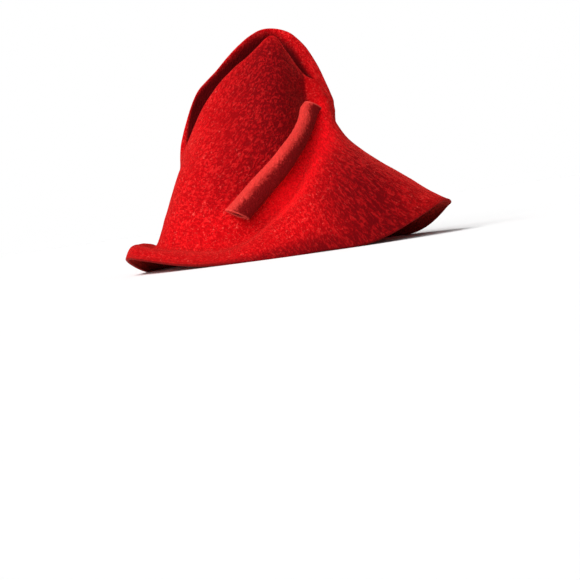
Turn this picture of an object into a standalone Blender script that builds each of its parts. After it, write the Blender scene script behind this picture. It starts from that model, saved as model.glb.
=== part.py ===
"""Wool hat: a tall felt hood with a lengthwise crease, blocked in one with its brim, and a rolled felt quill.

Metres, +Z up. The front of the hat is towards -Y and the wearer's right is -X. It stands on its brim at Z = 0.
"""

import math

import bmesh
import bpy
import numpy as np

HAT_LENGTH = 0.298
HAT_WIDTH = 0.218
HAT_HEIGHT = 0.211
FELT_WALL = 0.003

QUILL_TOP_WIDTH = 0.0160
QUILL_FOOT_WIDTH = 0.0215
QUILL_TOP_THICKNESS = 0.0115
QUILL_FOOT_THICKNESS = 0.0135
QUILL_WALL = 0.0020
QUILL_GAP = 0.0006
QUILL_LAP_GAP = 0.0006

NET_STEPS_AROUND = 80
QUILL_STEPS_ALONG = 12
QUILL_STEPS_ROUND = 20

# The points of each section from the brim edge up to the bottom of the crease:
# name, knot, mesh steps to the next point.
PROFILE = (
    ("edge", 0.0, 2),
    ("brim", 0.7, 2),
    ("flare", 1.5, 2),
    ("groove", 2.2, 1),
    ("low", 2.8, 2),
    ("mid", 3.7, 3),
    ("high", 4.8, 4),
    ("ridge", 5.9, 2),
    ("inner", 6.4, 2),
    ("keel", 7.0, 0),
)

# Sections round the hat, each a plane that runs from its hinge on the crease out to the brim edge.
# Columns: name; hinge and edge ahead of the middle, as shares of the length; edge to the right, as a share
# of the width; rise of the edge; then brim, flare, groove, low, mid, high, ridge and inner, each as
# (share of the way out from the hinge, rise); and the rise of the keel. Rises are shares of the height.
SECTIONS = (
    ("front", 0.148, 0.492, 0.000, 0.137,
     (0.84, 0.182), (0.21, 0.428), (0.09, 0.521), (0.08, 0.559),
     (0.09, 0.592), (0.09, 0.621), (0.08, 0.649), (0.04, 0.664), 0.659),
    ("front_right", 0.134, 0.400, 0.270, 0.081,
     (0.80, 0.250), (0.29, 0.460), (0.12, 0.626), (0.11, 0.654),
     (0.09, 0.673), (0.08, 0.697), (0.06, 0.716), (0.03, 0.706), 0.692),
    ("pinch_right", 0.101, 0.268, 0.410, 0.014,
     (0.76, 0.240), (0.43, 0.427), (0.21, 0.564), (0.17, 0.621),
     (0.14, 0.668), (0.10, 0.716), (0.06, 0.756), (0.03, 0.745), 0.720),
    ("slope_right", 0.067, 0.140, 0.467, 0.007,
     (0.84, 0.180), (0.59, 0.336), (0.38, 0.445), (0.33, 0.517),
     (0.26, 0.616), (0.17, 0.720), (0.08, 0.839), (0.05, 0.790), 0.730),
    ("peak_right", 0.023, 0.042, 0.495, 0.000,
     (0.88, 0.114), (0.72, 0.213), (0.58, 0.284), (0.54, 0.370),
     (0.43, 0.531), (0.26, 0.758), (0.11, 0.948), (0.08, 0.870), 0.720),
    ("rise_right", -0.034, -0.046, 0.500, 0.000,
     (0.92, 0.071), (0.80, 0.133), (0.69, 0.176), (0.63, 0.261),
     (0.51, 0.483), (0.30, 0.735), (0.11, 0.896), (0.08, 0.812), 0.673),
    ("side_right", -0.121, -0.158, 0.484, 0.008,
     (0.95, 0.038), (0.88, 0.062), (0.80, 0.090), (0.73, 0.196),
     (0.59, 0.417), (0.35, 0.640), (0.12, 0.810), (0.08, 0.720), 0.578),
    ("back_side_right", -0.188, -0.316, 0.434, 0.031,
     (0.95, 0.062), (0.87, 0.078), (0.79, 0.096), (0.72, 0.187),
     (0.58, 0.379), (0.33, 0.569), (0.14, 0.697), (0.08, 0.626), 0.502),
    ("lip_right", -0.238, -0.483, 0.301, 0.076,
     (0.93, 0.121), (0.80, 0.116), (0.67, 0.110), (0.53, 0.227),
     (0.39, 0.370), (0.25, 0.483), (0.12, 0.573), (0.06, 0.531), 0.469),
    ("back", -0.272, -0.493, 0.000, 0.005,
     (0.91, 0.095), (0.80, 0.118), (0.69, 0.118), (0.55, 0.223),
     (0.40, 0.332), (0.27, 0.427), (0.19, 0.517), (0.09, 0.512), 0.483),
    ("back_left", -0.238, -0.468, -0.282, 0.000,
     (0.92, 0.052), (0.84, 0.081), (0.75, 0.100), (0.63, 0.218),
     (0.49, 0.389), (0.35, 0.540), (0.14, 0.710), (0.12, 0.630), 0.469),
    ("back_side_left", -0.188, -0.314, -0.425, 0.000,
     (0.95, 0.033), (0.89, 0.057), (0.83, 0.081), (0.78, 0.199),
     (0.62, 0.427), (0.40, 0.660), (0.14, 0.816), (0.15, 0.718), 0.502),
    ("side_left", -0.121, -0.158, -0.484, 0.000,
     (0.95, 0.033), (0.89, 0.062), (0.82, 0.085), (0.77, 0.218),
     (0.61, 0.483), (0.39, 0.742), (0.12, 0.906), (0.16, 0.787), 0.578),
    ("rise_left", -0.034, -0.046, -0.500, 0.000,
     (0.92, 0.071), (0.81, 0.133), (0.72, 0.175), (0.68, 0.275),
     (0.53, 0.545), (0.34, 0.820), (0.12, 0.982), (0.16, 0.857), 0.673),
    ("peak_left", 0.023, 0.042, -0.495, 0.000,
     (0.88, 0.114), (0.72, 0.223), (0.59, 0.294), (0.54, 0.389),
     (0.45, 0.583), (0.31, 0.839), (0.13, 0.984), (0.13, 0.882), 0.720),
    ("slope_left", 0.067, 0.140, -0.467, 0.000,
     (0.81, 0.180), (0.60, 0.327), (0.40, 0.431), (0.38, 0.512),
     (0.34, 0.621), (0.27, 0.787), (0.14, 0.948), (0.07, 0.863), 0.730),
    ("pinch_left", 0.101, 0.268, -0.410, 0.000,
     (0.70, 0.237), (0.44, 0.408), (0.25, 0.536), (0.24, 0.607),
     (0.23, 0.678), (0.21, 0.749), (0.16, 0.839), (0.07, 0.801), 0.720),
    ("front_left", 0.134, 0.400, -0.270, 0.028,
     (0.72, 0.218), (0.32, 0.427), (0.15, 0.536), (0.15, 0.588),
     (0.15, 0.621), (0.14, 0.659), (0.11, 0.706), (0.06, 0.711), 0.692),
)

# The line on the felt that the quill follows, from its top to its foot.
# Columns: share of the way down, place round the net, place up the net.
QUILL_PATH = (
    (0.00, 0.093, 2.92),
    (0.16, 0.135, 2.98),
    (0.36, 0.178, 3.07),
    (0.52, 0.204, 3.04),
    (0.66, 0.227, 3.00),
    (0.81, 0.249, 2.91),
    (1.00, 0.276, 2.72),
)
QUILL_SLANT_SHARE = 0.33
QUILL_SEAM_SHARE = -0.10
QUILL_LAP_SHARE = 0.07

# Soft folds pressed into the felt, each along a line through three places on the net.
# Columns: name, the three places (round, up), width and depth as shares of the height, and how round the
# bottom is: 2 for a soft hollow, 1 for a sharp crease.
FOLDS = (
    ("groove", (0.072, 2.50), (0.168, 2.32), (0.280, 1.85), 0.070, 0.035, 1.4),
    ("front_pinch", (0.100, 5.00), (0.106, 4.20), (0.114, 3.10), 0.030, 0.024, 1.3),
    ("front_hollow", (0.126, 4.50), (0.132, 3.95), (0.140, 3.20), 0.080, 0.016, 2.0),
)


def spline(knots, values, samples, closed):
    """Cubic spline through rows of values, with free ends or closed into a ring."""
    knots, values = np.asarray(knots, float), np.asarray(values, float)
    spans = np.diff(knots)
    slopes = np.diff(values, axis=0) / spans[:, None]
    count = len(spans) if closed else len(knots)
    system, right = np.zeros((count, count)), np.zeros((count, values.shape[1]))
    if not closed:
        system[0, 0] = system[-1, -1] = 1.0
    for row in range(count) if closed else range(1, count - 1):
        before, after = spans[row - 1], spans[row]
        system[row, row - 1] += before
        system[row, row] += 2.0 * (before + after)
        system[row, (row + 1) % count] += after
        right[row] = 6.0 * (slopes[row] - slopes[row - 1])
    bends = np.linalg.solve(system, right)
    if closed:
        bends = np.vstack([bends, bends[:1]])
    samples = np.asarray(samples, float)
    span = np.clip(np.searchsorted(knots, samples, side="right") - 1, 0, len(spans) - 1)
    to_end = (knots[span + 1] - samples)[:, None]
    from_start = (samples - knots[span])[:, None]
    width = spans[span][:, None]
    bent = (bends[span] * to_end**3 + bends[span + 1] * from_start**3) / (6.0 * width)
    start = (values[span] / width - bends[span] * width / 6.0) * to_end
    end = (values[span + 1] / width - bends[span + 1] * width / 6.0) * from_start
    return bent + start + end


def section_points(section):
    """The points of one section, from the brim edge to the keel."""
    _, hinge, ahead, aside, edge_rise, *middle, keel_rise = section
    shares = [(1.0, edge_rise), *middle, (0.0, keel_rise)]
    return [
        (
            -out * aside * HAT_WIDTH,
            -(hinge + out * (ahead - hinge)) * HAT_LENGTH,
            rise * HAT_HEIGHT,
        )
        for out, rise in shares
    ]


def smooth_net(around, up):
    """Points of the outer face without its folds, for every pair of places round and up the net."""
    sections = np.array([section_points(section) for section in SECTIONS])
    ring = np.vstack([sections, sections[:1]])
    gaps = np.linalg.norm(np.diff(ring, axis=0), axis=2)[:, :7].mean(axis=1)
    gaps = gaps + gaps[::-1]
    knots = np.concatenate([[0.0], np.cumsum(gaps)]) / gaps.sum()
    count = len(PROFILE)
    rings = spline(knots, ring.reshape(len(ring), -1), around, True)
    rows = rings.reshape(len(around), count, 3).transpose(1, 0, 2).reshape(count, -1)
    grid = spline([knot for _, knot, _ in PROFILE], rows, up, False)
    return grid.reshape(len(up), len(around), 3).transpose(1, 0, 2)


def felt_net(around, up):
    """Points of the outer face: around runs from 0 at the front to 1, up from the edge to the keel."""
    around, up = np.asarray(around, float), np.asarray(up, float)
    net = smooth_net(around, up)
    along = smooth_net((around + 0.002) % 1.0, up) - smooth_net((around - 0.002) % 1.0, up)
    upward = smooth_net(around, up + 0.02) - smooth_net(around, up - 0.02)
    outward = np.cross(upward, along)
    outward /= np.maximum(np.linalg.norm(outward, axis=2, keepdims=True), 1e-12)
    moved = net.copy()
    for _, top, middle, foot, width, depth, roundness in FOLDS:
        shares = np.linspace(0.0, 1.0, 25)
        places = spline([0.0, 0.5, 1.0], [top, middle, foot], shares, False)
        line = np.array([smooth_net(place[:1], place[1:])[0, 0] for place in places])
        depths = depth * HAT_HEIGHT * np.sin(math.pi * shares) ** 0.6
        reach = np.linalg.norm(net[:, :, None, :] - line, axis=3) / (width * HAT_HEIGHT)
        pressed = (depths * np.exp(-(reach**roundness))).max(axis=2)
        moved -= outward * pressed[:, :, None]
    return moved


def felt_at(place, up):
    """The point of the outer face at one place round and up the net."""
    return felt_net([place], [up])[0, 0]


def profile_rings():
    """The knot values at which the net has a ring."""
    values = [PROFILE[0][1]]
    for (_, start, steps), (_, end, _) in zip(PROFILE, PROFILE[1:]):
        values.extend(np.linspace(start, end, steps + 1)[1:])
    return values


def grid_faces(rows, columns, closed):
    """Quads of a grid of points stored row by row, with the last row joined to the first when it is closed."""
    faces = []
    for row in range(rows if closed else rows - 1):
        after = (row + 1) % rows
        for column in range(columns - 1):
            near, far = row * columns + column, after * columns + column
            faces.append((near, near + 1, far + 1, far))
    return faces


def open_sheet(name, points, faces):
    """A mesh object from points and faces, with double points welded."""
    mesh = bpy.data.meshes.new(name)
    mesh.from_pydata([tuple(point) for point in points], [], faces)
    shape = bmesh.new()
    shape.from_mesh(mesh)
    bmesh.ops.remove_doubles(shape, verts=shape.verts, dist=0.00001)
    shape.to_mesh(mesh)
    shape.free()
    sheet = bpy.data.objects.new(name, mesh)
    hat.objects.link(sheet)
    return sheet


def thicken(sheet, wall):
    """Gives an open sheet its wall, inwards from the face that it shows, and keeps the result as its mesh."""
    shell = sheet.modifiers.new("wall", "SOLIDIFY")
    shell.thickness = wall
    shell.offset = -1.0
    graph = bpy.context.evaluated_depsgraph_get()
    solid = bpy.data.meshes.new_from_object(sheet.evaluated_get(graph))
    sheet.modifiers.clear()
    sheet.data = solid
    return solid


def felt_material(name, colour, roughness):
    material = bpy.data.materials.new(name)
    material.use_nodes = True
    shader = material.node_tree.nodes["Principled BSDF"]
    shader.inputs["Base Color"].default_value = (*colour, 1.0)
    shader.inputs["Roughness"].default_value = roughness
    shader.inputs["Metallic"].default_value = 0.0
    shader.inputs["Sheen Weight"].default_value = 0.5
    return material


for old in list(bpy.data.objects):
    bpy.data.objects.remove(old, do_unlink=True)
hat = bpy.data.collections.new("wool_hat")
bpy.context.scene.collection.children.link(hat)

# The crown and brim are one felt hood. The net closes along the keel, where both sides of the crease meet.
around = np.arange(NET_STEPS_AROUND) / NET_STEPS_AROUND
rings = profile_rings()
net = felt_net(around, rings)
for step in range(1, NET_STEPS_AROUND // 2):
    net[-step, -1] = net[step, -1]
felt_body = open_sheet("felt_body", net.reshape(-1, 3), grid_faces(len(around), len(rings), True))
wall_mesh = thicken(felt_body, FELT_WALL)
for vertex in wall_mesh.vertices:
    vertex.co.z = max(vertex.co.z, 0.0)
wall_mesh.materials.append(felt_material("red_felt", (0.47, 0.006, 0.008), 0.95))

# The quill is a strip of the same felt rolled into a tapering tube, which lies along the groove.
shares = np.linspace(0.0, 1.0, QUILL_STEPS_ALONG + 1)
path = spline([row[0] for row in QUILL_PATH], [row[1:] for row in QUILL_PATH], shares, False)
seats = np.array([felt_at(place, up) for place, up in path])
downs = np.gradient(seats, axis=0)
roll_points = []
for share, (place, up), seat, down in zip(shares, path, seats, downs, strict=True):
    down = down / np.linalg.norm(down)
    across_net = felt_at(place + 0.03, up) - felt_at(place - 0.03, up)
    up_net = felt_at(place, up + 0.4) - felt_at(place, up - 0.4)
    out = np.cross(across_net, up_net)
    out = out - down * out.dot(down)
    out = out / np.linalg.norm(out)
    if out[0] > 0.0:
        out = -out
    across = np.cross(out, down)
    across = across - down * QUILL_SLANT_SHARE
    widening = 1.0 - (1.0 - share) ** 2
    half_width = (QUILL_TOP_WIDTH + (QUILL_FOOT_WIDTH - QUILL_TOP_WIDTH) * widening) / 2.0
    half_thick = (QUILL_TOP_THICKNESS + (QUILL_FOOT_THICKNESS - QUILL_TOP_THICKNESS) * share) / 2.0
    centre = seat + out * (half_thick + QUILL_GAP)
    for step in range(QUILL_STEPS_ROUND + 1):
        turned = step / QUILL_STEPS_ROUND * (1.0 + QUILL_LAP_SHARE)
        tuck = min(max((turned - 0.84) / 0.16, 0.0), 1.0)
        inset = (QUILL_WALL + QUILL_LAP_GAP) * tuck * tuck * (3.0 - 2.0 * tuck)
        angle = math.tau * (QUILL_SEAM_SHARE + turned)
        roll_points.append(
            centre
            + across * (half_width - inset) * math.cos(angle)
            + out * (half_thick - inset) * math.sin(angle)
        )
quill = open_sheet("quill", roll_points, grid_faces(len(shares), QUILL_STEPS_ROUND + 1, False))
quill_mesh = thicken(quill, QUILL_WALL)
quill_mesh.materials.append(felt_material("red_felt_strip", (0.40, 0.006, 0.008), 0.95))

# The hat stands with the middle of its outline over the origin.
corners = np.array([vertex.co for vertex in wall_mesh.vertices])
middle = (corners.min(axis=0) + corners.max(axis=0)) / 2.0
for piece in (felt_body, quill):
    for vertex in piece.data.vertices:
        vertex.co.x -= middle[0]
        vertex.co.y -= middle[1]
    for face in piece.data.polygons:
        face.use_smooth = True
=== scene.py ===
"""Wool hat: one blocked felt hood with a lengthwise crease, and a rolled felt quill in its groove.

Metres, +Z up. The front of the hat is towards -Y and the wearer's right is -X. It rests on its brim.
"""

import math

import bmesh
import bpy
import numpy as np
from mathutils import Matrix, Vector, noise


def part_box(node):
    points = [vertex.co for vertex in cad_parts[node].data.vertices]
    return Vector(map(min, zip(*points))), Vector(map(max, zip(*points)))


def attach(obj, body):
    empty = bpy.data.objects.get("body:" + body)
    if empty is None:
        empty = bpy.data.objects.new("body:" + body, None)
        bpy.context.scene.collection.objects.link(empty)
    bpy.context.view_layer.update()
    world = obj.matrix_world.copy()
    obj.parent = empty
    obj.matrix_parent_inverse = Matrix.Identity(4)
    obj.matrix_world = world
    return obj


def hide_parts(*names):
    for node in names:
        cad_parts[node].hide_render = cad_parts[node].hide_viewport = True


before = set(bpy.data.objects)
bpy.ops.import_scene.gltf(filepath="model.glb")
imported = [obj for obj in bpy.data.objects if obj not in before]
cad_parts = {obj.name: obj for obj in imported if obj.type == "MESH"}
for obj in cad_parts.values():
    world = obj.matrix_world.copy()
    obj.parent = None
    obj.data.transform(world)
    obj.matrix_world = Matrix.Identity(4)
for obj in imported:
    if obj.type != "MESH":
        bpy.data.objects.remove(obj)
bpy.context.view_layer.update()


# The felt body: crown and brim are a single hood of red wool felt, steamed and pulled over a block, pressed
# in along the top into a deep crease, and cut round at the brim. Its brushed nap lies in short wavy strokes.
HAT_LENGTH = 0.298
HAT_WIDTH = 0.218
HAT_HEIGHT = 0.211

# The points of each section from the brim edge up to the bottom of the crease: name, knot, mesh steps.
PROFILE = (
    ("edge", 0.0, 9),
    ("brim", 0.7, 12),
    ("flare", 1.5, 12),
    ("groove", 2.2, 9),
    ("low", 2.8, 12),
    ("mid", 3.7, 16),
    ("high", 4.8, 20),
    ("ridge", 5.9, 14),
    ("inner", 6.4, 12),
    ("keel", 7.0, 0),
)

# Sections round the hat. Columns: name; hinge and edge ahead of the middle, as shares of the length; edge to
# the right, as a share of the width; rise of the edge; then brim, flare, groove, low, mid, high, ridge and
# inner, each as (share of the way out from the hinge, rise); and the keel's rise. A rise is a share of
# the height.
SECTIONS = (
    ("front", 0.148, 0.492, 0.000, 0.137,
     (0.84, 0.182), (0.21, 0.428), (0.09, 0.521), (0.08, 0.559),
     (0.09, 0.592), (0.09, 0.621), (0.08, 0.649), (0.04, 0.664), 0.659),
    ("front_right", 0.134, 0.400, 0.270, 0.081,
     (0.80, 0.250), (0.29, 0.460), (0.12, 0.626), (0.11, 0.654),
     (0.09, 0.673), (0.08, 0.697), (0.06, 0.716), (0.03, 0.706), 0.692),
    ("pinch_right", 0.101, 0.268, 0.410, 0.014,
     (0.76, 0.240), (0.43, 0.427), (0.21, 0.564), (0.17, 0.621),
     (0.14, 0.668), (0.10, 0.716), (0.06, 0.756), (0.03, 0.745), 0.720),
    ("slope_right", 0.067, 0.140, 0.467, 0.007,
     (0.84, 0.180), (0.59, 0.336), (0.38, 0.445), (0.33, 0.517),
     (0.26, 0.616), (0.17, 0.720), (0.08, 0.839), (0.05, 0.790), 0.730),
    ("peak_right", 0.023, 0.042, 0.495, 0.000,
     (0.88, 0.114), (0.72, 0.213), (0.58, 0.284), (0.54, 0.370),
     (0.43, 0.531), (0.26, 0.758), (0.11, 0.948), (0.08, 0.870), 0.720),
    ("rise_right", -0.034, -0.046, 0.500, 0.000,
     (0.92, 0.071), (0.80, 0.133), (0.69, 0.176), (0.63, 0.261),
     (0.51, 0.483), (0.30, 0.735), (0.11, 0.896), (0.08, 0.812), 0.673),
    ("side_right", -0.121, -0.158, 0.484, 0.008,
     (0.95, 0.038), (0.88, 0.062), (0.80, 0.090), (0.73, 0.196),
     (0.59, 0.417), (0.35, 0.640), (0.12, 0.810), (0.08, 0.720), 0.578),
    ("back_side_right", -0.188, -0.316, 0.434, 0.031,
     (0.95, 0.062), (0.87, 0.078), (0.79, 0.096), (0.72, 0.187),
     (0.58, 0.379), (0.33, 0.569), (0.14, 0.697), (0.08, 0.626), 0.502),
    ("lip_right", -0.238, -0.483, 0.301, 0.076,
     (0.93, 0.121), (0.80, 0.116), (0.67, 0.110), (0.53, 0.227),
     (0.39, 0.370), (0.25, 0.483), (0.12, 0.573), (0.06, 0.531), 0.469),
    ("back", -0.272, -0.493, 0.000, 0.005,
     (0.91, 0.095), (0.80, 0.118), (0.69, 0.118), (0.55, 0.223),
     (0.40, 0.332), (0.27, 0.427), (0.19, 0.517), (0.09, 0.512), 0.483),
    ("back_left", -0.238, -0.468, -0.282, 0.000,
     (0.92, 0.052), (0.84, 0.081), (0.75, 0.100), (0.63, 0.218),
     (0.49, 0.389), (0.35, 0.540), (0.14, 0.710), (0.12, 0.630), 0.469),
    ("back_side_left", -0.188, -0.314, -0.425, 0.000,
     (0.95, 0.033), (0.89, 0.057), (0.83, 0.081), (0.78, 0.199),
     (0.62, 0.427), (0.40, 0.660), (0.14, 0.816), (0.15, 0.718), 0.502),
    ("side_left", -0.121, -0.158, -0.484, 0.000,
     (0.95, 0.033), (0.89, 0.062), (0.82, 0.085), (0.77, 0.218),
     (0.61, 0.483), (0.39, 0.742), (0.12, 0.906), (0.16, 0.787), 0.578),
    ("rise_left", -0.034, -0.046, -0.500, 0.000,
     (0.92, 0.071), (0.81, 0.133), (0.72, 0.175), (0.68, 0.275),
     (0.53, 0.545), (0.34, 0.820), (0.12, 0.982), (0.16, 0.857), 0.673),
    ("peak_left", 0.023, 0.042, -0.495, 0.000,
     (0.88, 0.114), (0.72, 0.223), (0.59, 0.294), (0.54, 0.389),
     (0.45, 0.583), (0.31, 0.839), (0.13, 0.984), (0.13, 0.882), 0.720),
    ("slope_left", 0.067, 0.140, -0.467, 0.000,
     (0.81, 0.180), (0.60, 0.327), (0.40, 0.431), (0.38, 0.512),
     (0.34, 0.621), (0.27, 0.787), (0.14, 0.948), (0.07, 0.863), 0.730),
    ("pinch_left", 0.101, 0.268, -0.410, 0.000,
     (0.70, 0.237), (0.44, 0.408), (0.25, 0.536), (0.24, 0.607),
     (0.23, 0.678), (0.21, 0.749), (0.16, 0.839), (0.07, 0.801), 0.720),
    ("front_left", 0.134, 0.400, -0.270, 0.028,
     (0.72, 0.218), (0.32, 0.427), (0.15, 0.536), (0.15, 0.588),
     (0.15, 0.621), (0.14, 0.659), (0.11, 0.706), (0.06, 0.711), 0.692),
)

# Soft folds pressed into the felt along a line through three places on the net.
# Columns: name, the three places (round, up), width and depth as shares of the height, and how round the
# bottom is: 2 for a soft hollow, 1 for a sharp crease.
FOLDS = (
    ("groove", (0.072, 2.50), (0.168, 2.32), (0.280, 1.85), 0.070, 0.035, 1.4),
    ("front_pinch", (0.100, 5.00), (0.106, 4.20), (0.114, 3.10), 0.030, 0.024, 1.3),
    ("front_hollow", (0.126, 4.50), (0.132, 3.95), (0.140, 3.20), 0.080, 0.016, 2.0),
)


def spline(knots, values, samples, closed):
    """Cubic spline through rows of values, with free ends or closed into a ring."""
    knots, values = np.asarray(knots, float), np.asarray(values, float)
    spans = np.diff(knots)
    slopes = np.diff(values, axis=0) / spans[:, None]
    count = len(spans) if closed else len(knots)
    system, right = np.zeros((count, count)), np.zeros((count, values.shape[1]))
    if not closed:
        system[0, 0] = system[-1, -1] = 1.0
    for row in range(count) if closed else range(1, count - 1):
        before, after = spans[row - 1], spans[row]
        system[row, row - 1] += before
        system[row, row] += 2.0 * (before + after)
        system[row, (row + 1) % count] += after
        right[row] = 6.0 * (slopes[row] - slopes[row - 1])
    bends = np.linalg.solve(system, right)
    if closed:
        bends = np.vstack([bends, bends[:1]])
    samples = np.asarray(samples, float)
    span = np.clip(np.searchsorted(knots, samples, side="right") - 1, 0, len(spans) - 1)
    to_end = (knots[span + 1] - samples)[:, None]
    from_start = (samples - knots[span])[:, None]
    width = spans[span][:, None]
    bent = (bends[span] * to_end**3 + bends[span + 1] * from_start**3) / (6.0 * width)
    start = (values[span] / width - bends[span] * width / 6.0) * to_end
    end = (values[span + 1] / width - bends[span + 1] * width / 6.0) * from_start
    return bent + start + end


def section_points(section):
    """The points of one section, from the brim edge to the keel."""
    _, hinge, ahead, aside, edge_rise, *between, keel_rise = section
    shares = [(1.0, edge_rise), *between, (0.0, keel_rise)]
    return [
        (
            -out * aside * HAT_WIDTH,
            -(hinge + out * (ahead - hinge)) * HAT_LENGTH,
            rise * HAT_HEIGHT,
        )
        for out, rise in shares
    ]


def smooth_net(around, up):
    """Points of the outer face without its folds, for every pair of places round and up the net."""
    sections = np.array([section_points(section) for section in SECTIONS])
    ring = np.vstack([sections, sections[:1]])
    gaps = np.linalg.norm(np.diff(ring, axis=0), axis=2)[:, :7].mean(axis=1)
    gaps = gaps + gaps[::-1]
    knots = np.concatenate([[0.0], np.cumsum(gaps)]) / gaps.sum()
    count = len(PROFILE)
    rings = spline(knots, ring.reshape(len(ring), -1), around, True)
    rows = rings.reshape(len(around), count, 3).transpose(1, 0, 2).reshape(count, -1)
    grid = spline([knot for _, knot, _ in PROFILE], rows, up, False)
    return grid.reshape(len(up), len(around), 3).transpose(1, 0, 2)


def net_normals(around, up):
    """Outward directions of the outer face at every pair of places."""
    along = smooth_net((around + 0.002) % 1.0, up) - smooth_net((around - 0.002) % 1.0, up)
    upward = smooth_net(around, up + 0.02) - smooth_net(around, up - 0.02)
    outward = np.cross(upward, along)
    return outward / np.maximum(np.linalg.norm(outward, axis=2, keepdims=True), 1e-12)


def felt_net(around, up):
    """Points of the outer face: around runs from 0 at the front to 1, up from the edge to the keel."""
    around, up = np.asarray(around, float), np.asarray(up, float)
    net = smooth_net(around, up)
    outward = net_normals(around, up)
    moved = net.copy()
    for _, top, halfway, foot, width, depth, roundness in FOLDS:
        shares = np.linspace(0.0, 1.0, 25)
        places = spline([0.0, 0.5, 1.0], [top, halfway, foot], shares, False)
        line = np.array([smooth_net(place[:1], place[1:])[0, 0] for place in places])
        depths = depth * HAT_HEIGHT * np.sin(math.pi * shares) ** 0.6
        pressed = np.zeros(net.shape[:2])
        for point, deep in zip(line, depths):
            reach = np.linalg.norm(net - point, axis=2) / (width * HAT_HEIGHT)
            pressed = np.maximum(pressed, deep * np.exp(-(reach**roundness)))
        moved -= outward * pressed[:, :, None]
    return moved


def steps_between(knots_and_steps):
    """Values that run from each knot to the next in its number of even steps."""
    values = [knots_and_steps[0][0]]
    for (start, steps), (end, _) in zip(knots_and_steps, knots_and_steps[1:]):
        values.extend(np.linspace(start, end, steps + 1)[1:])
    return np.array(values)


def even_rise(values, start, span):
    """An even rise from 0 at the start to 1 a span away. A negative span leads downwards."""
    return np.clip((values - start) / span, 0.0, 1.0)


def ramp(values, start, end):
    """A smooth rise from 0 at one value to 1 at the other."""
    share = np.clip((values - start) / (end - start), 0.0, 1.0)
    return share * share * (3.0 - 2.0 * share)


def piece_from(name, points, faces):
    """A mesh object at the origin, smooth all over."""
    mesh = bpy.data.meshes.new(name)
    mesh.from_pydata([tuple(point) for point in points], [], faces)
    mesh.polygons.foreach_set("use_smooth", [True] * len(mesh.polygons))
    mesh.update()
    piece = bpy.data.objects.new(name, mesh)
    bpy.context.scene.collection.objects.link(piece)
    return piece


def store(mesh, name, values):
    """Keeps one number a point on a mesh, for its material to read."""
    layer = mesh.attributes.new(name, "FLOAT", "POINT")
    layer.data.foreach_set("value", np.ascontiguousarray(values, dtype=np.float32).reshape(-1))


def lumps(points, size, height, seed):
    """Uneven hand-pressed height at each point, from smooth noise of one size."""
    shift = Vector((seed * 3.7, seed * 1.3, -seed * 2.1))
    return height * np.array([noise.noise(Vector(point) / size + shift) for point in points])


# The mesh has columns round the hat and rings up it. The rings nearest the edge are left out, since the
# rounded cut edge takes their room.
FELT_COLUMNS = 288
EDGE_TURNS = 8
EDGE_ROOM = 0.20

columns = np.arange(FELT_COLUMNS) / FELT_COLUMNS
rings = steps_between([(knot, steps) for _, knot, steps in PROFILE])
rings = np.concatenate([[0.0], rings[rings > EDGE_ROOM]])
outer = felt_net(columns, rings)
normals = net_normals(columns, rings)

# The keel's two sides share their points, and the normal there is the mean of both sides' just below it.
for step in range(1, FELT_COLUMNS // 2):
    outer[-step, -1] = outer[step, -1]
normals[:, -1] = normals[:, -2]
normals[1:, -1] += normals[1:, -2][::-1]
normals[:, -1] /= np.maximum(np.linalg.norm(normals[:, -1], axis=1, keepdims=True), 1e-12)

# The unevenness left by the hands that blocked the hood: size, height and seed. It fades near edge and keel.
BROAD_LUMPS = (0.034, 0.0010, 1.0)
SMALL_LUMPS = (0.012, 0.00035, 2.0)
LUMP_FADE = 0.02
LUMPS_LEFT_AT_EDGE = 0.15

steps_up = np.linalg.norm(np.diff(outer, axis=1), axis=2)
from_edge = np.concatenate([np.zeros((FELT_COLUMNS, 1)), np.cumsum(steps_up, axis=1)], axis=1)
flat = outer.reshape(-1, 3)
uneven = lumps(flat, *BROAD_LUMPS) + lumps(flat, *SMALL_LUMPS)
from_keel = from_edge[:, -1:] - from_edge
fade = np.clip(from_edge / LUMP_FADE, LUMPS_LEFT_AT_EDGE, 1.0) * np.clip(from_keel / LUMP_FADE, 0.0, 1.0)
outer = outer + normals * (uneven.reshape(from_edge.shape) * fade)[:, :, None]

# The wall. Its inner face keeps closer to the outer one inside the ridges and the pinched front, where the
# two sides of the hood lie so near each other that a full wall would pass through itself.
# The last three are the start and the span of a change, in places up or round the net.
FELT_WALL = 0.003
CUT_EDGE_SWELL = 0.0007
CUT_EDGE_SWELL_REACH = 0.005
THINNED_BY = 0.7
THIN_UP_RIDGE = (4.9, 0.6)
THIN_UP_FRONT = (2.4, 0.4)
THIN_ROUND_FRONT = (0.13, -0.03)

wall = FELT_WALL + CUT_EDGE_SWELL * np.exp(-((from_edge / CUT_EDGE_SWELL_REACH) ** 2))
at_ridge = even_rise(rings, *THIN_UP_RIDGE)[None, :]
from_front = np.minimum(columns, 1.0 - columns)[:, None]
at_front = even_rise(from_front, *THIN_ROUND_FRONT) * even_rise(rings, *THIN_UP_FRONT)[None, :]
wall = wall * (1.0 - THINNED_BY * np.maximum(at_ridge, at_front))
inner = outer - normals * wall[:, :, None]

# The cut edge is half a turn from the outer face to the inner one, a little fuller than an ellipse.
CUT_EDGE_ROUND = 0.0013
CUT_EDGE_FULLNESS = 0.8

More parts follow.
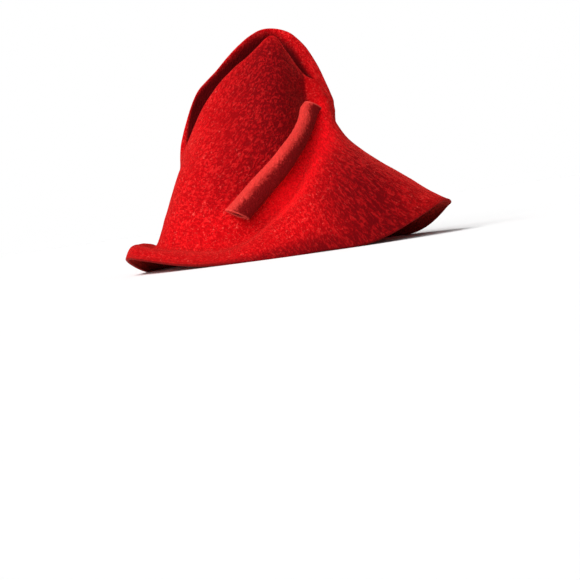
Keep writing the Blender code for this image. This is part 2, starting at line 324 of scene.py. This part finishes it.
outward_edge = outer[:, 0] - outer[:, 1]
outward_edge /= np.linalg.norm(outward_edge, axis=1, keepdims=True)
half_wall = wall[:, 0] / 2.0
edge_centre = outer[:, 0] - normals[:, 0] * half_wall[:, None] - outward_edge * CUT_EDGE_ROUND
edge_rows = []
for step in range(EDGE_TURNS + 1):
    angle = math.pi * step / EDGE_TURNS
    across = normals[:, 0] * (half_wall * math.cos(angle))[:, None]
    bulge = outward_edge * CUT_EDGE_ROUND * math.sin(angle) ** CUT_EDGE_FULLNESS
    edge_rows.append(edge_centre + across + bulge)
edge_rows = np.stack(edge_rows, axis=1)

# One closed skin, row by row: outer face from the keel to the edge, round the cut edge, inner face back up.
skin = np.concatenate([outer[:, :0:-1], edge_rows, inner[:, 1:]], axis=1)
skin[:, :, 2] = np.maximum(skin[:, :, 2], 0.0)
rows = skin.shape[1]
outer_rows = outer.shape[1] - 1
inner_start = outer_rows + EDGE_TURNS + 1
felt_faces = []
for column in range(FELT_COLUMNS):
    after = (column + 1) % FELT_COLUMNS
    for row in range(rows - 1):
        here, there = column * rows + row, after * rows + row
        felt_faces.append((here, there, there + 1, here + 1))
felt = piece_from("felt_hood", skin.reshape(-1, 3), felt_faces)


def both_faces(ring_values, at_edge):
    """One value for each row of the skin, from a value for each ring and one for the cut edge."""
    return np.concatenate([ring_values[:0:-1], np.full(EDGE_TURNS + 1, at_edge), ring_values[1:]])


def outer_face(mask):
    """A mask of the outer face spread over the skin. The inner face takes its value at the edge."""
    return np.concatenate([mask[:, :0:-1], np.repeat(mask[:, :1], rows - outer_rows, axis=1)], axis=1)


# Masks for the material: the cut edge and the felt just beside it, the inside, and the brim.
CUT_EDGE_FADE = 0.0034
CUT_EDGE_ON_OUTER_FACE = 0.55
CUT_EDGE_AT_OUTER_CORNER = 0.3
BRIM_UP = (2.9, -0.9)

near_edge = np.exp(-((from_edge / CUT_EDGE_FADE) ** 2))
edge_mask = np.ones((FELT_COLUMNS, rows))
edge_mask[:, :outer_rows] = near_edge[:, :0:-1] * CUT_EDGE_ON_OUTER_FACE
edge_mask[:, outer_rows] = CUT_EDGE_AT_OUTER_CORNER
edge_mask[:, inner_start:] = near_edge[:, 1:]
inside_mask = np.zeros((FELT_COLUMNS, rows))
inside_mask[:, outer_rows + EDGE_TURNS // 2 + 1 :] = 1.0
brim_rows = both_faces(even_rise(rings, *BRIM_UP), 1.0)

# Painted shade: the colour is darkened beside the front pinch, low on the front of the brim and along the
# near side's edge, where shade falls.
# Each ramp here and below runs between two places on the net, round it for columns and up it for rings.
by_pinch = ramp(columns, 0.40, 0.18) * ramp(columns, 0.095, 0.103)
on_crown = ramp(rings, 2.7, 3.2) * ramp(rings, 6.0, 5.3)
by_tip = ramp(columns, 0.18, 0.08) * ramp(columns, 0.015, 0.07)
low_brim = ramp(rings, 2.3, 0.6)
near_side = ramp(columns, 0.33, 0.22) * ramp(columns, 0.03, 0.08)
edge_band = ramp(rings, 0.55, 0.05)
painted_shade_mask = np.maximum(by_pinch[:, None] * on_crown[None, :], by_tip[:, None] * low_brim[None, :])
painted_shade_mask = np.maximum(painted_shade_mask, near_side[:, None] * edge_band[None, :])

# Painted light: beside the quill, in the groove, the colour is brightened to the felt's brightest red,
# standing in for light there.
by_quill = ramp(columns, 0.26, 0.19) * ramp(columns, 0.05, 0.09)
in_groove = ramp(rings, 1.2, 1.7) * ramp(rings, 3.3, 2.7)
painted_light_mask = by_quill[:, None] * in_groove[None, :]

# Painted shade: the felt is darkened deep in the crease, where shade falls. The darkening starts higher up
# the net at the front and lower on the far wall.
CREASE_START = 6.05
CREASE_LATER_AT_FRONT = 0.45
CREASE_SOONER_ON_FAR_WALL = 0.30
CREASE_BLEND = 0.36

front_share = even_rise(np.abs(columns - 0.5), 0.36, 0.08)
far_wall = ramp(columns, 0.50, 0.58) * ramp(columns, 0.86, 0.78)
crease_start = CREASE_START + CREASE_LATER_AT_FRONT * front_share - CREASE_SOONER_ON_FAR_WALL * far_wall
crease_shade = ramp(rings[None, :] - crease_start[:, None], 0.0, CREASE_BLEND)

store(felt.data, "cut_edge", edge_mask)
store(felt.data, "crease", outer_face(crease_shade))
store(felt.data, "painted_shade", outer_face(painted_shade_mask))
store(felt.data, "painted_light", outer_face(painted_light_mask))
store(felt.data, "inside", inside_mask)
store(felt.data, "brim", np.tile(brim_rows, FELT_COLUMNS))

# The map holds each corner's place on the net: its share of the way round, and its metres up from the edge.
up_rows = both_faces(from_edge.mean(axis=0), 0.0)
net_map = felt.data.uv_layers.new(name="net")
corner_points = np.empty(len(felt.data.loops), dtype=np.int64)
felt.data.loops.foreach_get("vertex_index", corner_points)
corner_column = corner_points // rows
face_column = np.repeat(np.arange(len(felt_faces)) // (rows - 1), 4)
corner_column = np.where(corner_column < face_column, FELT_COLUMNS, corner_column)
corner_places = np.stack([corner_column / FELT_COLUMNS, up_rows[corner_points % rows]], axis=1)
net_map.data.foreach_set("uv", corner_places.astype(np.float32).reshape(-1))

shape = bmesh.new()
shape.from_mesh(felt.data)
bmesh.ops.remove_doubles(shape, verts=shape.verts, dist=0.00001)
shape.to_mesh(felt.data)
shape.free()

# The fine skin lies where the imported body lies: both have the middle of their outlines at one place.
corners = np.array([vertex.co for vertex in felt.data.vertices])
low, high = (np.array(corner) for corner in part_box("felt_body"))
to_place = (low + high) / 2.0 - (corners.min(axis=0) + corners.max(axis=0)) / 2.0
to_place[2] = 0.0
felt.data.transform(Matrix.Translation(to_place))


def node_group(name, inputs, outputs):
    """A new node group with sockets given as (name, kind), and its input and output nodes."""
    group = bpy.data.node_groups.new(name, "ShaderNodeTree")
    for in_out, sockets in (("INPUT", inputs), ("OUTPUT", outputs)):
        for socket, kind in sockets:
            group.interface.new_socket(name=socket, in_out=in_out, socket_type=kind)
    return group, group.nodes.new("NodeGroupInput"), group.nodes.new("NodeGroupOutput")


def maths(tree, operation, first, second=None):
    """A Math node's output; each input is a number or a socket."""
    node = tree.nodes.new("ShaderNodeMath")
    node.operation = operation
    for slot, value in enumerate((first, second)):
        if isinstance(value, float):
            node.inputs[slot].default_value = value
        elif value is not None:
            tree.links.new(value, node.inputs[slot])
    return node.outputs[0]


def between(tree, value, low_end, high_end, low_result=0.0, high_result=1.0):
    """A smooth Map Range node's output."""
    node = tree.nodes.new("ShaderNodeMapRange")
    node.interpolation_type = "SMOOTHSTEP"
    tree.links.new(value, node.inputs["Value"])
    node.inputs["From Min"].default_value = low_end
    node.inputs["From Max"].default_value = high_end
    node.inputs["To Min"].default_value = low_result
    node.inputs["To Max"].default_value = high_result
    return node.outputs["Result"]


def noise_at(tree, place, scale, detail, roughness, distortion):
    """A Noise texture's number at one place."""
    node = tree.nodes.new("ShaderNodeTexNoise")
    tree.links.new(place, node.inputs["Vector"])
    node.inputs["Scale"].default_value = scale
    node.inputs["Detail"].default_value = detail
    node.inputs["Roughness"].default_value = roughness
    node.inputs["Distortion"].default_value = distortion
    return node.outputs["Fac"]


def blend(tree, share, first, second):
    """A colour Mix node's output. Share and colours are sockets, or else a number and three numbers each."""
    node = tree.nodes.new("ShaderNodeMix")
    node.data_type = "RGBA"
    for slot, value in ((0, share), (6, first), (7, second)):
        if isinstance(value, float):
            node.inputs[slot].default_value = value
        elif isinstance(value, tuple):
            node.inputs[slot].default_value = (*value, 1.0)
        else:
            tree.links.new(value, node.inputs[slot])
    return node.outputs[2]


def place_group(tree, group):
    """A node group put into a material's tree."""
    node = tree.nodes.new("ShaderNodeGroup")
    node.node_tree = group
    return node


def attribute(tree, name):
    """The number that a mesh keeps under one name, read at each point."""
    node = tree.nodes.new("ShaderNodeAttribute")
    node.attribute_name = name
    return node.outputs["Fac"]


# Brushed strokes: the net's place is wound on a drum so that the pattern closes, then noise is stretched.
# Turns sets the strokes' number round the hat, Rise their number up it, and Lean how far they lean round.
strokes, given, put_out = node_group(
    "brushed_strokes",
    [
        ("Net", "NodeSocketVector"),
        ("Turns", "NodeSocketFloat"),
        ("Rise", "NodeSocketFloat"),
        ("Lean", "NodeSocketFloat"),
    ],
    [("Height", "NodeSocketFloat")],
)
split = strokes.nodes.new("ShaderNodeSeparateXYZ")
strokes.links.new(given.outputs["Net"], split.inputs[0])
round_hat, up_hat = split.outputs[0], split.outputs[1]
leaned = maths(strokes, "ADD", round_hat, maths(strokes, "MULTIPLY", up_hat, given.outputs["Lean"]))
turned = maths(strokes, "MULTIPLY", leaned, math.tau)
drum = strokes.nodes.new("ShaderNodeCombineXYZ")
for slot, operation in enumerate(("COSINE", "SINE")):
    side = maths(strokes, "MULTIPLY", maths(strokes, operation, turned), given.outputs["Turns"])
    strokes.links.new(side, drum.inputs[slot])
strokes.links.new(maths(strokes, "MULTIPLY", up_hat, given.outputs["Rise"]), drum.inputs[2])
height = noise_at(strokes, drum.outputs[0], scale=1.0, detail=2.0, roughness=0.55, distortion=0.9)
strokes.links.new(between(strokes, height, 0.31, 0.70), put_out.inputs["Height"])

# Felt nap: mottled colour and a soft uneven height from matted fibres of about a millimetre.
MATTED_SHARE = 0.20
TUFTS_SHARE = 0.20
STROKES_SHARE = 0.6
RAISED_TIPS_SHARE = 0.17
FLECK_SHARE = 0.7

nap, given, put_out = node_group(
    "felt_nap",
    [
        ("Place", "NodeSocketVector"),
        ("Strokes", "NodeSocketFloat"),
        ("Red", "NodeSocketColor"),
        ("Deep Red", "NodeSocketColor"),
        ("Pale Red", "NodeSocketColor"),
    ],
    [("Color", "NodeSocketColor"), ("Height", "NodeSocketFloat")],
)
place, red = given.outputs["Place"], given.outputs["Red"]
deep_red, pale_red = given.outputs["Deep Red"], given.outputs["Pale Red"]
matted = noise_at(nap, place, scale=620.0, detail=3.0, roughness=0.65, distortion=0.4)
tufts = noise_at(nap, place, scale=260.0, detail=2.0, roughness=0.6, distortion=0.8)
patches = noise_at(nap, place, scale=38.0, detail=3.0, roughness=0.5, distortion=0.0)
loose = noise_at(nap, place, scale=420.0, detail=1.0, roughness=0.5, distortion=1.5)
matted_height = maths(nap, "MULTIPLY", between(nap, matted, 0.3, 0.7), MATTED_SHARE)
tufts_height = maths(nap, "MULTIPLY", between(nap, tufts, 0.3, 0.7), TUFTS_SHARE)
strokes_height = maths(nap, "MULTIPLY", given.outputs["Strokes"], STROKES_SHARE)
clumps = maths(nap, "ADD", maths(nap, "ADD", matted_height, tufts_height), strokes_height)
colour = blend(nap, between(nap, clumps, 0.25, 0.75), deep_red, red)
colour = blend(nap, between(nap, patches, 0.35, 0.7, 0.0, 0.35), colour, deep_red)
raised_tips = maths(nap, "MULTIPLY", between(nap, clumps, 0.55, 0.95), RAISED_TIPS_SHARE)
colour = blend(nap, raised_tips, colour, pale_red)
flecks = maths(nap, "MULTIPLY", between(nap, loose, 0.63, 0.78), FLECK_SHARE)
colour = blend(nap, flecks, colour, pale_red)
nap.links.new(colour, put_out.inputs["Color"])
nap.links.new(clumps, put_out.inputs["Height"])

FELT_RED = (0.670, 0.0028, 0.0055)
FELT_DEEP_RED = (0.400, 0.0008, 0.0025)
FELT_PALE_RED = (0.900, 0.090, 0.070)
# Painted shade: the dark red that the shade masks blend towards.
PAINTED_SHADE_RED = (0.125, 0.0006, 0.0020)


def felt_material(name):
    """A material with the felt's nap in its reds. Also gives the nap's node and the place on the piece."""
    material = bpy.data.materials.new(name)
    material.use_nodes = True
    tree = material.node_tree
    place = tree.nodes.new("ShaderNodeTexCoord").outputs["Object"]
    felt_nap = place_group(tree, nap)
    tree.links.new(place, felt_nap.inputs["Place"])
    for socket, colour in (("Red", FELT_RED), ("Deep Red", FELT_DEEP_RED), ("Pale Red", FELT_PALE_RED)):
        felt_nap.inputs[socket].default_value = (*colour, 1.0)
    return material, felt_nap, place


def finish_felt(tree, colour, height, bump, bump_height, sheen, sheen_tint):
    """Gives the shader its colour and bump, and the dull rough surface and fibre sheen of wool felt."""
    shader = tree.nodes["Principled BSDF"]
    raised = tree.nodes.new("ShaderNodeBump")
    raised.inputs["Strength"].default_value = bump
    raised.inputs["Distance"].default_value = bump_height
    tree.links.new(height, raised.inputs["Height"])
    tree.links.new(raised.outputs["Normal"], shader.inputs["Normal"])
    tree.links.new(colour, shader.inputs["Base Color"])
    shader.inputs["Roughness"].default_value = 0.95
    shader.inputs["Specular IOR Level"].default_value = 0.05
    shader.inputs["Sheen Weight"].default_value = sheen
    shader.inputs["Sheen Roughness"].default_value = 0.28
    shader.inputs["Sheen Tint"].default_value = (*sheen_tint, 1.0)


# The hood's felt. Columns of the strokes: turns, rise, lean.
CROWN_STROKES = (26.0, 540.0, 0.0)
BRIM_STROKES = (64.0, 330.0, -0.9)
CUT_EDGE_RED = (0.170, 0.004, 0.004)
INSIDE_PAINTED_LIGHT_RED = (0.800, 0.060, 0.045)
CREASE_SHADE_RED = (0.050, 0.0003, 0.0010)
# Painted light: the brightest red, blended in beside the quill.
PAINTED_LIGHT_RED = (0.950, 0.0040, 0.0085)
INSIDE_PAINTED_LIGHT_SHARE = 0.6
CUT_EDGE_SHARE = 0.88
CREASE_SHADE_SHARE = 0.95

red_felt, felt_nap, place = felt_material("red_wool_felt")
tree = red_felt.node_tree
net_place = tree.nodes.new("ShaderNodeUVMap")
net_place.uv_map = "net"
brushed = tree.nodes.new("ShaderNodeMix")
brushed.data_type = "FLOAT"
tree.links.new(attribute(tree, "brim"), brushed.inputs[0])
for slot, sizes in ((2, CROWN_STROKES), (3, BRIM_STROKES)):
    stroke = place_group(tree, strokes)
    for socket, value in zip(("Turns", "Rise", "Lean"), sizes, strict=True):
        stroke.inputs[socket].default_value = value
    tree.links.new(net_place.outputs["UV"], stroke.inputs["Net"])
    tree.links.new(stroke.outputs["Height"], brushed.inputs[slot])
tree.links.new(brushed.outputs[0], felt_nap.inputs["Strokes"])
nap_colour, nap_height = felt_nap.outputs["Color"], felt_nap.outputs["Height"]
# Painted light: the inside face is blended towards a paler red, standing in for light under the brim.
inside_painted_light = blend(tree, INSIDE_PAINTED_LIGHT_SHARE, nap_colour, INSIDE_PAINTED_LIGHT_RED)
colour = blend(tree, attribute(tree, "inside"), nap_colour, inside_painted_light)
edge_share = maths(tree, "MULTIPLY", attribute(tree, "cut_edge"), CUT_EDGE_SHARE)
colour = blend(tree, edge_share, colour, CUT_EDGE_RED)

# The raised tips take more of the painted light and less of the painted shade.
tips = between(tree, nap_height, 0.25, 0.75, 0.45, 0.95)
painted_light_share = maths(tree, "MULTIPLY", attribute(tree, "painted_light"), tips)
colour = blend(tree, painted_light_share, colour, PAINTED_LIGHT_RED)
shade_by_nap = between(tree, nap_height, 0.30, 0.80, 1.0, 0.68)
painted_shade_share = maths(tree, "MULTIPLY", attribute(tree, "painted_shade"), shade_by_nap)
colour = blend(tree, painted_shade_share, colour, PAINTED_SHADE_RED)
# Painted shade darkens the crease.
crease_shade_share = maths(tree, "MULTIPLY", attribute(tree, "crease"), CREASE_SHADE_SHARE)
colour = blend(tree, crease_shade_share, colour, CREASE_SHADE_RED)
finish_felt(tree, colour, nap_height, bump=0.85, bump_height=0.0009, sheen=0.42, sheen_tint=(1.0, 0.08, 0.06))
felt.data.materials.append(red_felt)
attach(felt, "root")
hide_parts("felt_body")


# The quill: a strip of the same felt rolled into a tapering tube with its free edge tucked under, cut across
# at the top and slantwise at the foot. It is stitched from inside along the groove on the wearer's right.
QUILL_TOP_WIDTH = 0.0160
QUILL_FOOT_WIDTH = 0.0215
QUILL_TOP_THICKNESS = 0.0115
QUILL_FOOT_THICKNESS = 0.0135
QUILL_WALL = 0.0020
QUILL_GAP = 0.0006
QUILL_LAP_GAP = 0.0006
QUILL_SLANT_SHARE = 0.33
QUILL_SEAM_SHARE = -0.10
QUILL_LAP_SHARE = 0.07
QUILL_TUCK_START = 0.84
QUILL_TUCK_SPAN = 0.16
QUILL_EDGE_ROUND = 0.0006
QUILL_STEPS_ALONG = 72
QUILL_STEPS_ROUND = 60

# Columns: share of the way down, place round the net, place up the net.
QUILL_PATH = (
    (0.00, 0.093, 2.92),
    (0.16, 0.135, 2.98),
    (0.36, 0.178, 3.07),
    (0.52, 0.204, 3.04),
    (0.66, 0.227, 3.00),
    (0.81, 0.249, 2.91),
    (1.00, 0.276, 2.72),
)


def felt_at(place_round, place_up):
    """The point of the felt's outer face at one place on the net."""
    return felt_net([place_round], [place_up])[0, 0]


shares = np.linspace(0.0, 1.0, QUILL_STEPS_ALONG + 1)
path = spline([row[0] for row in QUILL_PATH], [row[1:] for row in QUILL_PATH], shares, False)
seats = np.array([felt_at(place_round, place_up) for place_round, place_up in path])
downs = np.gradient(seats, axis=0)
roll_points = []
for share, (place_round, place_up), seat, down in zip(shares, path, seats, downs, strict=True):
    down = down / np.linalg.norm(down)
    across_net = felt_at(place_round + 0.03, place_up) - felt_at(place_round - 0.03, place_up)
    up_net = felt_at(place_round, place_up + 0.4) - felt_at(place_round, place_up - 0.4)
    out = np.cross(across_net, up_net)
    out = out - down * out.dot(down)
    out = out / np.linalg.norm(out)
    if out[0] > 0.0:
        out = -out
    across = np.cross(out, down)
    across = across - down * QUILL_SLANT_SHARE
    widening = 1.0 - (1.0 - share) ** 2
    half_width = (QUILL_TOP_WIDTH + (QUILL_FOOT_WIDTH - QUILL_TOP_WIDTH) * widening) / 2.0
    half_thick = (QUILL_TOP_THICKNESS + (QUILL_FOOT_THICKNESS - QUILL_TOP_THICKNESS) * share) / 2.0
    centre = seat + out * (half_thick + QUILL_GAP)
    for step in range(QUILL_STEPS_ROUND + 1):
        turned = step / QUILL_STEPS_ROUND * (1.0 + QUILL_LAP_SHARE)
        tuck = min(max((turned - QUILL_TUCK_START) / QUILL_TUCK_SPAN, 0.0), 1.0)
        inset = (QUILL_WALL + QUILL_LAP_GAP) * tuck * tuck * (3.0 - 2.0 * tuck)
        angle = math.tau * (QUILL_SEAM_SHARE + turned)
        roll_points.append(
            centre
            + across * (half_width - inset) * math.cos(angle)
            + out * (half_thick - inset) * math.sin(angle)
        )
quill_faces = []
for along in range(QUILL_STEPS_ALONG):
    for step in range(QUILL_STEPS_ROUND):
        near = along * (QUILL_STEPS_ROUND + 1) + step
        far = near + QUILL_STEPS_ROUND + 1
        quill_faces.append((near, near + 1, far + 1, far))
quill = piece_from("felt_quill", np.array(roll_points) + to_place, quill_faces)

# Masks: the cut ends, and painted shade on the lower side of the roll, which faces away from the light.
ends = np.zeros((QUILL_STEPS_ALONG + 1, QUILL_STEPS_ROUND + 1))
ends[[0, -1]] = 1.0
store(quill.data, "cut_edge", ends)
turns = QUILL_SEAM_SHARE + np.linspace(0.0, 1.0 + QUILL_LAP_SHARE, QUILL_STEPS_ROUND + 1)
painted_shade_side = ramp(np.cos(math.tau * turns), -0.85, 0.35)
store(quill.data, "painted_shade", np.tile(painted_shade_side, QUILL_STEPS_ALONG + 1))

shell = quill.modifiers.new("wall", "SOLIDIFY")
shell.thickness = QUILL_WALL
shell.offset = -1.0
soft_edge = quill.modifiers.new("soft cut edge", "BEVEL")
soft_edge.width = QUILL_EDGE_ROUND
soft_edge.segments = 3
soft_edge.limit_method = "ANGLE"
soft_edge.angle_limit = math.radians(55.0)
graph = bpy.context.evaluated_depsgraph_get()
rolled = bpy.data.meshes.new_from_object(quill.evaluated_get(graph))
quill.modifiers.clear()
quill.data = rolled

# The strip's felt is made paler than the hood's all over, and paler still at its cut ends. Where the painted
# shade leaves it, on the upper side of the roll, the paleness is a painted highlight.
QUILL_PALE_HIGHLIGHT_SHARE = 0.38
QUILL_END_SHARE = 0.55
QUILL_SHADE_BY_NAP = 1.6

quill_felt, quill_nap, place = felt_material("red_wool_felt_strip")
tree = quill_felt.node_tree
quill_strokes = noise_at(tree, place, scale=430.0, detail=2.0, roughness=0.55, distortion=0.8)
tree.links.new(between(tree, quill_strokes, 0.35, 0.65), quill_nap.inputs["Strokes"])
colour = blend(tree, QUILL_PALE_HIGHLIGHT_SHARE, quill_nap.outputs["Color"], FELT_PALE_RED)
shade_by_nap = maths(tree, "MULTIPLY", quill_strokes, QUILL_SHADE_BY_NAP)
painted_shade_share = maths(tree, "ADD", attribute(tree, "painted_shade"), shade_by_nap)
painted_shade_share = between(tree, painted_shade_share, 0.78, 1.72, 0.0, 0.94)
colour = blend(tree, painted_shade_share, colour, PAINTED_SHADE_RED)
end_share = maths(tree, "MULTIPLY", attribute(tree, "cut_edge"), QUILL_END_SHARE)
colour = blend(tree, end_share, colour, FELT_PALE_RED)
nap_height = quill_nap.outputs["Height"]
finish_felt(tree, colour, nap_height, bump=0.9, bump_height=0.0011, sheen=0.20, sheen_tint=(1.0, 0.09, 0.07))
quill.data.materials.clear()
quill.data.materials.append(quill_felt)
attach(quill, "root")
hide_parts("quill")


# The studio: a wide pale floor under a plain background that looks white but gives little light, a broad soft
# light from the upper left on the near side, and a softer one from the camera's side, nearly as strong.
FLOOR_REACH = 60.0
WORLD_LIGHT = 0.12
WORLD_MORE_WHEN_SEEN = 0.88

floor = piece_from(
    "floor",
    [
        (-FLOOR_REACH, -FLOOR_REACH, 0.0),
        (FLOOR_REACH, -FLOOR_REACH, 0.0),
        (FLOOR_REACH, FLOOR_REACH, 0.0),
        (-FLOOR_REACH, FLOOR_REACH, 0.0),
    ],
    [(0, 1, 2, 3)],
)
pale = bpy.data.materials.new("pale_floor")
pale.use_nodes = True
shader = pale.node_tree.nodes["Principled BSDF"]
shader.inputs["Base Color"].default_value = (0.97, 0.97, 0.97, 1.0)
shader.inputs["Roughness"].default_value = 0.9
shader.inputs["Specular IOR Level"].default_value = 0.0
floor.data.materials.append(pale)


def sun_from(name, direction, energy, wide):
    """A sun light that comes from one direction and is as many degrees wide as asked."""
    light = bpy.data.lights.new(name, "SUN")
    light.energy = energy
    light.angle = math.radians(wide)
    sun = bpy.data.objects.new(name, light)
    sun.rotation_euler = Vector(direction).to_track_quat("Z", "Y").to_euler()
    bpy.context.scene.collection.objects.link(sun)


sun_from("key", (-0.35, 0.50, 0.79), energy=2.65, wide=40.0)
sun_from("fill", (-0.93, 0.10, 0.36), energy=2.2, wide=50.0)

world = bpy.data.worlds.new("studio")
bpy.context.scene.world = world
world.use_nodes = True
tree = world.node_tree
background = tree.nodes["Background"]
background.inputs["Color"].default_value = (1.0, 1.0, 1.0, 1.0)
seen = tree.nodes.new("ShaderNodeLightPath").outputs["Is Camera Ray"]
strength = maths(tree, "ADD", maths(tree, "MULTIPLY", seen, WORLD_MORE_WHEN_SEEN), WORLD_LIGHT)
tree.links.new(strength, background.inputs["Strength"])
bpy.context.scene.view_settings.view_transform = "Standard"

# The camera stands level, just above the floor, and leans so that the front of the hat rises in the picture.
CAMERA_TURN = math.radians(-82.0)
CAMERA_LEAN = math.radians(8.0)
CAMERA_PLACE = (-1.1883, -0.1722, 0.035)
CAMERA_LENS = 80.44
CAMERA_SHIFT_ACROSS = -0.0109
CAMERA_SHIFT_UP = -0.1314

ahead = Vector((-math.sin(CAMERA_TURN), math.cos(CAMERA_TURN), 0.0))
level_right = Vector((math.cos(CAMERA_TURN), math.sin(CAMERA_TURN), 0.0))
upright = Vector((0.0, 0.0, 1.0))
camera_right = level_right * math.cos(CAMERA_LEAN) - upright * math.sin(CAMERA_LEAN)
camera_up = upright * math.cos(CAMERA_LEAN) + level_right * math.sin(CAMERA_LEAN)
camera_data = bpy.data.cameras.new("camera")
camera_data.sensor_width = 36.0
camera_data.lens = CAMERA_LENS
camera_data.shift_x = CAMERA_SHIFT_ACROSS
camera_data.shift_y = CAMERA_SHIFT_UP
camera_data.clip_end = 200.0
camera = bpy.data.objects.new("camera", camera_data)
turn = Matrix((camera_right, camera_up, -ahead)).transposed()
camera.matrix_world = Matrix.Translation(CAMERA_PLACE) @ turn.to_4x4()
bpy.context.scene.collection.objects.link(camera)
bpy.context.scene.camera = camera
